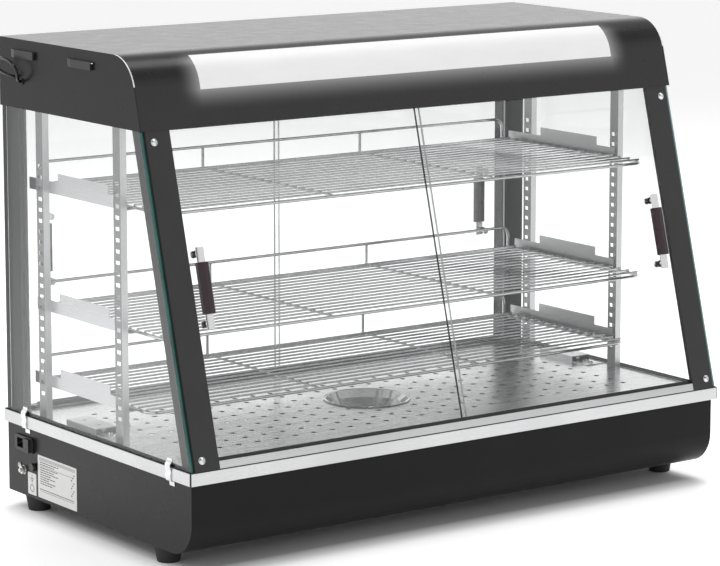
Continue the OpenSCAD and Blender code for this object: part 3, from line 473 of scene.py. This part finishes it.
lead_points = [tuple(c * MM for c in p) for p in LEAD]
lead = curve_piece("lamp_lead_flex", lead_points, LEAD_D / 2 * MM, "cable")
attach(lead, "case")
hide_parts("lamp_lead")


# ------------------------------------------------------------------ pieces in mesh code

def piece_from(name, bm, body, finish, smooth=False):
    mesh = bpy.data.meshes.new(name)
    bm.normal_update()
    bm.to_mesh(mesh)
    bm.free()
    for face in mesh.polygons:
        face.use_smooth = smooth
    mesh.materials.append(M[finish])
    piece = bpy.data.objects.new(name, mesh)
    scene.collection.objects.link(piece)
    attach(piece, body)


def slab(bm, centre, size):
    """A thin block with its own faces, for one printed mark."""
    made = bmesh.ops.create_cube(bm, size=1)["verts"]
    bmesh.ops.scale(bm, vec=size, verts=made)
    bmesh.ops.translate(bm, vec=centre, verts=made)


def ring(bm, centre, axis, outer, inner, height, sides=40):
    """A flat ring with bevelled rims, its axis along a unit vector."""
    turn = Vector((0, 0, 1)).rotation_difference(axis).to_matrix()
    chamfer = min(height, outer - inner) * 0.25
    profile = [(inner, 0), (outer, 0), (outer, height - chamfer), (outer - chamfer, height),
               (inner + chamfer, height), (inner, height - chamfer)]
    loops = []
    for r, h in profile:
        loops.append([bm.verts.new(Vector(centre) + turn @ Vector((
            r * math.cos(2 * math.pi * k / sides), r * math.sin(2 * math.pi * k / sides), h)))
            for k in range(sides)])
    for a, b in zip(loops, loops[1:] + loops[:1]):
        for k in range(sides):
            bm.faces.new((a[k], a[(k + 1) % sides], b[(k + 1) % sides], b[k]))


# ------------------------------------------------------------------ seams of the hood's ends

NOSE_R = 52 * MM
NOSE = Vector((0, -68.59 * MM, HOOD_TOP - NOSE_R))
HOOD_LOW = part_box("hood_cover")[0].z
RAISED = 0.05 * MM
SEAM_PROUD = 1.5 * MM
SEAM_W = 1.9 * MM


def nose_point(angle, r):
    """A point on the hood's rounded nose: 15 degrees where the slope ends, 90 on top."""
    return NOSE.y - r * math.cos(angle), NOSE.z + r * math.sin(angle)


def strip(bm, x0, x1, under, over):
    """A thin closed strip across X that follows two lines of (y, z) points."""
    rings = [[bm.verts.new((x, *p)) for x, p in ((x0, a), (x1, a), (x1, b), (x0, b))]
             for a, b in zip(under, over)]
    for a, b in zip(rings, rings[1:]):
        for k in range(4):
            bm.faces.new((a[k], a[(k + 1) % 4], b[(k + 1) % 4], b[k]))
    bm.faces.new(rings[0][::-1])
    bm.faces.new(rings[-1])
    bmesh.ops.recalc_face_normals(bm, faces=bm.faces)


arc = [TILT + (math.radians(87) - TILT) * k / 36 for k in range(37)]
tip_y, tip_z = nose_point(TILT, NOSE_R)
run = (tip_z - HOOD_LOW) / math.cos(TILT) - 0.4 * MM
for side, sign in (("left", -1), ("right", 1)):
    outer_x = sign * (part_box("hood_cover")[1].x + SEAM_PROUD)
    inner_x = outer_x - sign * SEAM_W
    # a near-white strip along the nose's seam: a painted highlight, the seam's bright line of
    # light
    glint = bmesh.new()
    strip(glint, outer_x, inner_x, [nose_point(a, NOSE_R - RAISED) for a in arc],
          [nose_point(a, NOSE_R + RAISED) for a in arc])
    piece_from(f"hood_painted_glint_{side}", glint, "case", "painted_glint")
    joint = bmesh.new()
    lines = []
    for lift in (-RAISED, RAISED):
        y, z = tip_y - lift * math.cos(TILT), tip_z + lift * math.sin(TILT)
        lines.append([(y - s * math.sin(TILT), z - s * math.cos(TILT)) for s in (0.0003, run)])
    strip(joint, outer_x, inner_x, *lines)
    piece_from(f"hood_joint_{side}", joint, "case", "rubber")

# ------------------------------------------------------------------ printed plates

PRINT = 0.12 * MM                  # thickness of a printed mark
PLATE_Y, PLATE_Z = 0.0995, 0.057   # middle of the large plate
PLATE_HALF_W, PLATE_HALF_H = 0.05225, 0.030
SMALL_Y = 0.1682                   # middle of the small plate
plate_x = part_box("rating_plates")[0].x
face_x = plate_x - PRINT / 2


def bar(bm, y, z, w, h):
    """One printed bar on the plates' outer face, round the point (y, z)."""
    slab(bm, (face_x, y, z), (PRINT, w, h))


label = bmesh.new()
back_y, front_y = PLATE_Y + PLATE_HALF_W, PLATE_Y - PLATE_HALF_W
top = PLATE_Z + PLATE_HALF_H
for row in range(3):
    bar(label, PLATE_Y, top - (3.2 + 1.6 * row) * MM, 96 * MM, 0.45 * MM)
rows = [(9.5, 46), (12.6, 38), (17.0, 44), (20.2, 34), (23.4, 46), (26.6, 26), (29.8, 40),
        (33.0, 20), (36.2, 34), (39.4, 30)]
for drop, length in rows:
    y = back_y - 7 * MM
    end = y - length * MM
    while y > end:
        word = rng.uniform(3.0, 8.5) * MM
        bar(label, y - word / 2, top - drop * MM, word, 1.15 * MM)
        y -= word + 1.3 * MM
for drop, weight in ((15.0, 0.4), (47.5, 0.9), (50.2, 0.4)):
    bar(label, PLATE_Y + 1 * MM, top - drop * MM, 92 * MM, weight * MM)
for k in range(9):
    bar(label, front_y + (7 + (k % 3) * 3.1) * MM, top - (12 + 3.6 * k) * MM, 2.4 * MM, 2.0 * MM)
piece_from("rating_plate_print", label, "case", "ink")

small = bmesh.new()
for k in range(3):
    bar(small, SMALL_Y, 0.0495 - k * 2.4 * MM, (3 + 3.4 * (2 - k)) * MM, 0.9 * MM)
bar(small, SMALL_Y, 0.0525, 0.9 * MM, 5.2 * MM)
ring(small, (plate_x, SMALL_Y, 0.0358), Vector((-1, 0, 0)), 5.4 * MM, 4.5 * MM, PRINT)
piece_from("earth_plate_print", small, "case", "ink")

# ------------------------------------------------------------------ rear panel marks

dial_lo, dial_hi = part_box("thermometer")
dial = Vector(((dial_lo.x + dial_hi.x) / 2, 0, (dial_lo.z + dial_hi.z) / 2))
marks = bmesh.new()


def radial_mark(bm, centre, angle, r0, r1, width, y):
    """A bar pointing away from a centre, lying on a face whose normal is +Y."""
    middle = (r0 + r1) / 2
    made = bmesh.ops.create_cube(bm, size=1)["verts"]
    bmesh.ops.scale(bm, vec=(width, PRINT, r1 - r0), verts=made)
    bmesh.ops.translate(bm, vec=(0, 0, middle), verts=made)
    bmesh.ops.rotate(bm, cent=(0, 0, 0), matrix=Matrix.Rotation(angle, 3, "Y"), verts=made)
    bmesh.ops.translate(bm, vec=(centre.x, y, centre.z), verts=made)


dial_face = dial_hi.y - 1.3 * MM
for k in range(31):
    long = k % 5 == 0
    radial_mark(marks, dial, math.radians(-135 + 9 * k), (15.2 if long else 16.8) * MM,
                18.8 * MM, (0.7 if long else 0.35) * MM, dial_face + PRINT / 2)
piece_from("thermometer_marks", marks, "case", "ink")

knob_lo, knob_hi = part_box("thermostat_knob")
knob = Vector(((knob_lo.x + knob_hi.x) / 2, 0, (knob_lo.z + knob_hi.z) / 2))
panel_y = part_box("base_shell")[1].y
scale = bmesh.new()
for k in range(28):
    long = k % 3 == 0
    radial_mark(scale, knob, math.radians(10 * k), 23.5 * MM, (28.5 if long else 26.2) * MM,
                (0.9 if long else 0.5) * MM, panel_y + PRINT / 2)
piece_from("thermostat_scale", scale, "case", "white_ink")

# ------------------------------------------------------------------ screws

HEAD_R = 3.6 * MM


def pan_heads(name, spots):
    """Domed screw heads with a cross recess, on the case's back."""
    bm = bmesh.new()
    turn = Vector((0, 0, 1)).rotation_difference(Y_AXIS).to_matrix()
    sides, rings = 32, 6
    for spot in spots:
        spin = rng.uniform(0, math.pi / 2)
        loops = []
        for i in range(rings):
            a = i / rings * math.pi / 2
            r, h = HEAD_R * math.cos(a), 0.25 * MM + 1.9 * MM * math.sin(a)
            loops.append([])
            for k in range(sides):
                t = 2 * math.pi * k / sides
                x, y = r * math.cos(t), r * math.sin(t)
                u, v = (abs(math.cos(t - spin)) * r, abs(math.sin(t - spin)) * r)
                inside = min(u, v) < 0.42 * MM and max(u, v) < 1.9 * MM
                deep = 0.9 * MM if inside else 0
                loops[-1].append(bm.verts.new(Vector(spot) + turn @ Vector((x, y, h - deep))))
        base = [bm.verts.new(Vector(spot) + turn @ Vector((
            HEAD_R * math.cos(2 * math.pi * k / sides),
            HEAD_R * math.sin(2 * math.pi * k / sides), 0))) for k in range(sides)]
        for a, b in zip([base] + loops, loops):
            for k in range(sides):
                bm.faces.new((a[k], a[(k + 1) % sides], b[(k + 1) % sides], b[k]))
        bm.faces.new(loops[-1])
    bmesh.ops.remove_doubles(bm, verts=bm.verts, dist=1e-6)
    piece_from(name, bm, "case", "bright_steel", smooth=True)


hood_lo, hood_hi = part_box("hood_back")
pan_heads("hood_back_screws", [(x, hood_hi.y, z) for x in (-0.435, -0.15, 0.15, 0.435)
                               for z in (hood_lo.z + 0.010, hood_hi.z - 0.009)])
base_lo, base_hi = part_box("base_shell")
pan_heads("base_back_screws", [(x, base_hi.y, z) for x in (-0.430, 0.0, 0.430)
                               for z in (base_lo.z + 0.010, base_hi.z - 0.010)])

# ------------------------------------------------------------------ light and floor

SKY = 1.38                  # brightness of the sweep behind
FLOOR_GLOW = 0.52           # painted light: the floor's own glow, clear of the case
FLOOR_HALF = 80
SHADE_HALF = (0.42, 0.21)   # half the rectangle under the case left without the glow: a painted shadow
SHADE_FADE = 0.055          # from that rectangle to the full glow, the painted shadow's soft edge

sheet = bpy.data.meshes.new("floor")
sheet.from_pydata([(x * FLOOR_HALF, y * FLOOR_HALF, 0)
                   for x, y in ((-1, -1), (1, -1), (1, 1), (-1, 1))], [], [(0, 1, 2, 3)])
floor = bpy.data.objects.new("floor", sheet)
scene.collection.objects.link(floor)
ground = Graph("floor_paper", Roughness=0.9, Specular_IOR_Level=0.1,
               Emission_Color=(1.0, 1.0, 1.0))
ground.feed("Base Color", ground.blend(ground.span(ground.noise(3, 2), 0, 1),
                                       (0.86, 0.86, 0.86), (0.88, 0.88, 0.88)))
spot = ground.new("ShaderNodeSeparateXYZ")
ground.join(ground.object_coords, spot.inputs[0])
past = []
for component, half in enumerate(SHADE_HALF):
    out = ground.math("SUBTRACT", ground.math("ABSOLUTE", spot.outputs[component], 0), half)
    past.append(ground.math("POWER", ground.math("MAXIMUM", out, 0), 2))
away = ground.math("POWER", ground.math("ADD", *past), 0.5)
# painted light and shadow: the floor glows clear of the case and not under it
ground.feed("Emission Strength", ground.span(away, 0, FLOOR_GLOW, at=(0.0, SHADE_FADE)))
floor.data.materials.append(ground.mat)


def softbox(name, location, target, size, power, mirrored=True):
    lamp = bpy.data.lights.new(name, "AREA")
    lamp.shape = "RECTANGLE"
    lamp.size, lamp.size_y = size
    lamp.energy = power
    obj = bpy.data.objects.new(name, lamp)
    obj.location = location
    obj.rotation_euler = (Vector(target) - Vector(location)).to_track_quat("-Z", "Y").to_euler()
    obj.visible_glossy = mirrored
    scene.collection.objects.link(obj)


softbox("key_light", (1.3, 1.3, 2.6), (0, 0, 0.3), (2.6, 2.6), 62, mirrored=False)
softbox("strip_light", (0, 0.05, 2.3), (0, 0, 0.5), (3.2, 0.8), 20)

# the studio: a bright sweep behind, greyer in front, and much dimmer overhead
world = bpy.data.worlds.new("studio")
world.use_nodes = True
scene.world = world
sky = world.node_tree


def sky_ramp(value, stops):
    """Brightness along one component of the direction, through (place, level) stops."""
    ramp = sky.nodes.new("ShaderNodeFloatCurve")
    curve = ramp.mapping.curves[0]
    while len(curve.points) < len(stops):
        curve.points.new(0.5, 0.5)
    for point, (place, level) in zip(curve.points, stops):
        point.location = (place, level)
        point.handle_type = "AUTO_CLAMPED"
    ramp.mapping.update()
    shift = sky.nodes.new("ShaderNodeMath")
    shift.operation = "MULTIPLY_ADD"
    sky.links.new(value, shift.inputs[0])
    shift.inputs[1].default_value = shift.inputs[2].default_value = 0.5
    sky.links.new(shift.outputs[0], ramp.inputs["Value"])
    return ramp.outputs[0]


def sky_math(operation, a, b):
    node = sky.nodes.new("ShaderNodeMath")
    node.operation = operation
    for socket, value in zip(node.inputs, (a, b)):
        if isinstance(value, (int, float)):
            socket.default_value = value
        else:
            sky.links.new(value, socket)
    return node.outputs[0]


split = sky.nodes.new("ShaderNodeSeparateXYZ")
sky.links.new(sky.nodes.new("ShaderNodeTexCoord").outputs["Generated"], split.inputs[0])
# from the front, at 0, to the back, at 1; then from straight down to straight up
depth_wise = sky_ramp(split.outputs["Y"], [(0, 0.70), (0.3, 0.68), (0.5, 0.68), (0.75, 1), (1, 1)])
upwards = sky_ramp(split.outputs["Z"], [(0, 1), (0.5, 1), (0.68, 0.95), (0.80, 0.3), (1, 0.12)])
level = sky_math("MULTIPLY", sky_math("MULTIPLY", depth_wise, upwards), SKY)
pick = sky.nodes.new("ShaderNodeMix")
sky.links.new(sky.nodes.new("ShaderNodeLightPath").outputs["Is Camera Ray"], pick.inputs[0])
sky.links.new(level, pick.inputs[2])
pick.inputs[3].default_value = 1.0
backdrop = sky.nodes["Background"]
backdrop.inputs["Color"].default_value = (1, 1, 1, 1)
sky.links.new(pick.outputs[0], backdrop.inputs["Strength"])

scene.view_settings.view_transform = "Standard"
scene.view_settings.look = "None"
scene.cycles.transparent_max_bounces = 40
scene.cycles.max_bounces = 10
scene.cycles.sample_clamp_indirect = 6
